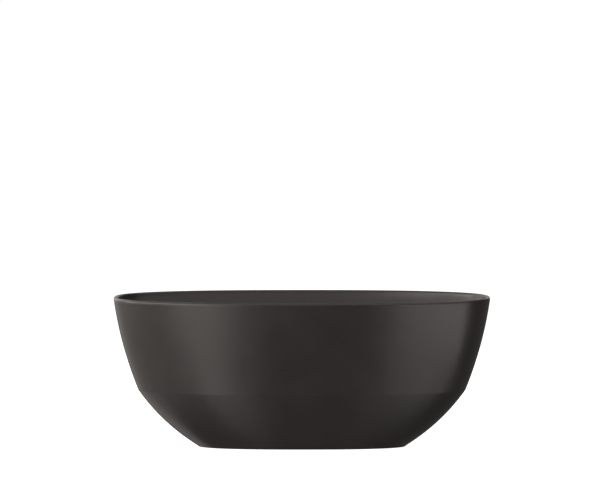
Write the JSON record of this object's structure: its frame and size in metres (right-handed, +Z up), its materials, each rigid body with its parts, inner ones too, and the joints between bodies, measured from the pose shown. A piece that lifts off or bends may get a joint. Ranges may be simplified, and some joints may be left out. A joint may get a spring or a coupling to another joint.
{
  "type": "freestanding bathtub",
  "caption": "Double-walled oval freestanding bathtub in dark satin acrylic, with a pop-up waste, an overflow knob, a trap and levelling feet.",
  "frame": {"origin": "on the floor under the middle of the tub", "axes": "+Z up, +X along the tub's length, towards the trap's outlet; the overflow is on the +Y side"},
  "size_m": [1.5, 0.7484, 0.598],
  "materials": {
    "graphite_acrylic": "satin",
    "bond_adhesive": "cured adhesive, matt",
    "plywood": "sealed birch plywood",
    "rail_steel": "zinc-plated",
    "fastener_steel": "zinc-plated",
    "pad_rubber": "matt",
    "dark_metal": "satin graphite",
    "seal_rubber": "matt",
    "brass": "machined",
    "body_plastic": "moulded",
    "pipe_plastic": "smooth white",
    "cable_sheath": "smooth"
  },
  "bodies": {
    "tub": {"bath_shell": "graphite_acrylic", "outer_skirt": "graphite_acrylic", "rim_bond_bead": "bond_adhesive", "base_board": "plywood", "cross_rail_left": "rail_steel", "cross_rail_right": "rail_steel", "rail_screw_1": "fastener_steel", "rail_screw_2": "fastener_steel", "rail_screw_3": "fastener_steel", "rail_screw_4": "fastener_steel", "rail_screw_5": "fastener_steel", "rail_screw_6": "fastener_steel", "rail_screw_7": "fastener_steel", "rail_screw_8": "fastener_steel", "lock_nut_front_left_upper": "fastener_steel", "lock_nut_front_left_lower": "fastener_steel", "lock_nut_front_right_upper": "fastener_steel", "lock_nut_front_right_lower": "fastener_steel", "lock_nut_back_left_upper": "fastener_steel", "lock_nut_back_left_lower": "fastener_steel", "lock_nut_back_right_upper": "fastener_steel", "lock_nut_back_right_lower": "fastener_steel", "waste_flange": "dark_metal", "waste_flange_gasket": "seal_rubber", "waste_body": "body_plastic", "waste_body_gasket": "seal_rubber", "lever_pin": "fastener_steel", "overflow_body": "body_plastic", "overflow_gasket": "seal_rubber", "overflow_flange_ring": "dark_metal", "overflow_pipe": "pipe_plastic", "pipe_nut_top": "body_plastic", "pipe_nut_bottom": "body_plastic", "control_cable": "cable_sheath", "trap_seal": "seal_rubber", "trap_body": "pipe_plastic", "trap_nut": "body_plastic", "outlet_seal": "seal_rubber", "outlet_pipe": "pipe_plastic", "outlet_nut": "body_plastic"},
    "foot_front_left": {"foot_stud_front_left": "fastener_steel", "foot_pad_front_left": "pad_rubber"},
    "foot_front_right": {"foot_stud_front_right": "fastener_steel", "foot_pad_front_right": "pad_rubber"},
    "foot_back_left": {"foot_stud_back_left": "fastener_steel", "foot_pad_back_left": "pad_rubber"},
    "foot_back_right": {"foot_stud_back_right": "fastener_steel", "foot_pad_back_right": "pad_rubber"},
    "plug": {"plug_cap": "dark_metal", "plug_seal": "seal_rubber", "plug_stem": "brass"},
    "lever": {"lift_lever": "body_plastic"},
    "knob": {"overflow_knob": "dark_metal", "overflow_spindle": "brass", "cable_drum": "body_plastic"}
  },
  "joints": [
    {"name": "knob_turn", "type": "hinge", "parent": "tub", "child": "knob", "pos_m": [0, 0.3095, 0.473], "axis": [0, -0.9231, 0.3846], "range_deg": [0, 90]},
    {"name": "plug_lift", "type": "slide", "parent": "tub", "child": "plug", "axis": [0, 0, 1], "range_m": [0, 0.012]},
    {"name": "lever_turn", "type": "hinge", "parent": "tub", "child": "lever", "pos_m": [-0.02, 0, 0.11422], "axis": [0, -1, 0], "range_deg": [0, 34.92]},
    {"name": "foot_front_left_level", "type": "slide", "parent": "tub", "child": "foot_front_left", "axis": [0, 0, -1], "range_m": [0, 0.02]},
    {"name": "foot_front_right_level", "type": "slide", "parent": "tub", "child": "foot_front_right", "axis": [0, 0, -1], "range_m": [0, 0.02]},
    {"name": "foot_back_left_level", "type": "slide", "parent": "tub", "child": "foot_back_left", "axis": [0, 0, -1], "range_m": [0, 0.02]},
    {"name": "foot_back_right_level", "type": "slide", "parent": "tub", "child": "foot_back_right", "axis": [0, 0, -1], "range_m": [0, 0.02]}
  ],
  "couplings": [
    {"joint": "plug_lift", "follows": "knob_turn", "m_per_rad": 0.0076394},
    {"joint": "lever_turn", "follows": "knob_turn", "ratio": 0.38795}
  ]
}
